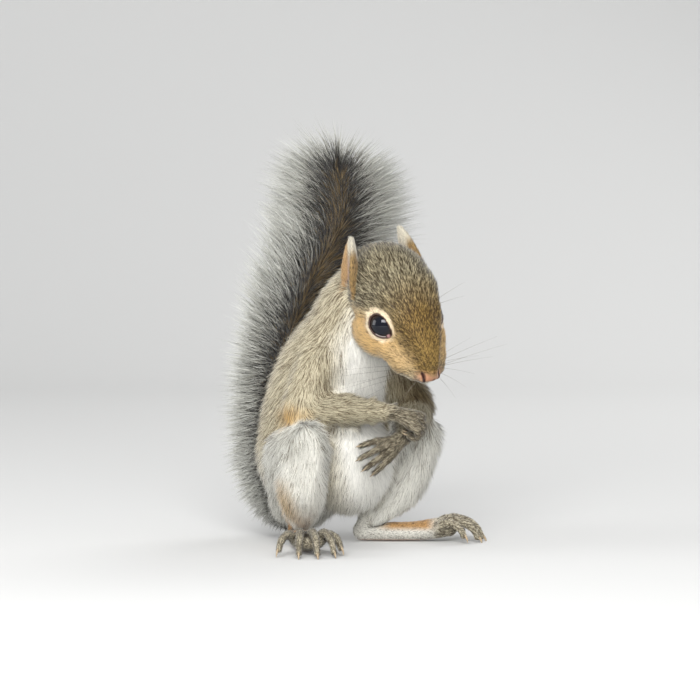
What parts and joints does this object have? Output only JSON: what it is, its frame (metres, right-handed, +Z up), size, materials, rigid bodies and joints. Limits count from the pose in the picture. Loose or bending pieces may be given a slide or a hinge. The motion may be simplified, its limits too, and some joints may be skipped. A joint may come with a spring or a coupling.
{
  "type": "grey squirrel",
  "caption": "Young grey squirrel sitting upright, hands drawn in to the chest and bushy tail raised along its back, as a still life-size model.",
  "frame": {"origin": "centre of the bounding box, on the floor that the feet and the tail's root stand on", "axes": "+Z up, -Y the way the animal faces, +X its left side"},
  "size_m": [0.11, 0.1208, 0.1758],
  "materials": {
    "body_fur": "short grizzled buff-grey fur, white at the throat and belly",
    "head_fur": "very short grizzled fur, tawny on the cheeks",
    "leg_fur": "pale grey fur, orange at the heel",
    "foot_fur": "very short buff fur, with pale horn claws",
    "tail_fur": "long loose hair, brown at the core, then black, then white at the tips",
    "ear": "thin skin with velvety tawny hair",
    "eye": "wet, dark brown to black"
  },
  "bodies": {
    "root": {"ear_left": "ear", "ear_right": "ear", "eye_left": "eye", "eye_right": "eye", "foot_left": "foot_fur", "foot_right": "foot_fur", "forearm_left": "body_fur", "forearm_right": "body_fur", "hand_left": "foot_fur", "hand_right": "foot_fur", "head": "head_fur", "neck": "body_fur", "shank_left": "leg_fur", "shank_right": "leg_fur", "tail_base": "tail_fur", "tail_middle": "tail_fur", "tail_tip": "tail_fur", "thigh_left": "leg_fur", "thigh_right": "leg_fur", "trunk": "body_fur", "upper_arm_left": "body_fur", "upper_arm_right": "body_fur"}
  },
  "joints": []
}
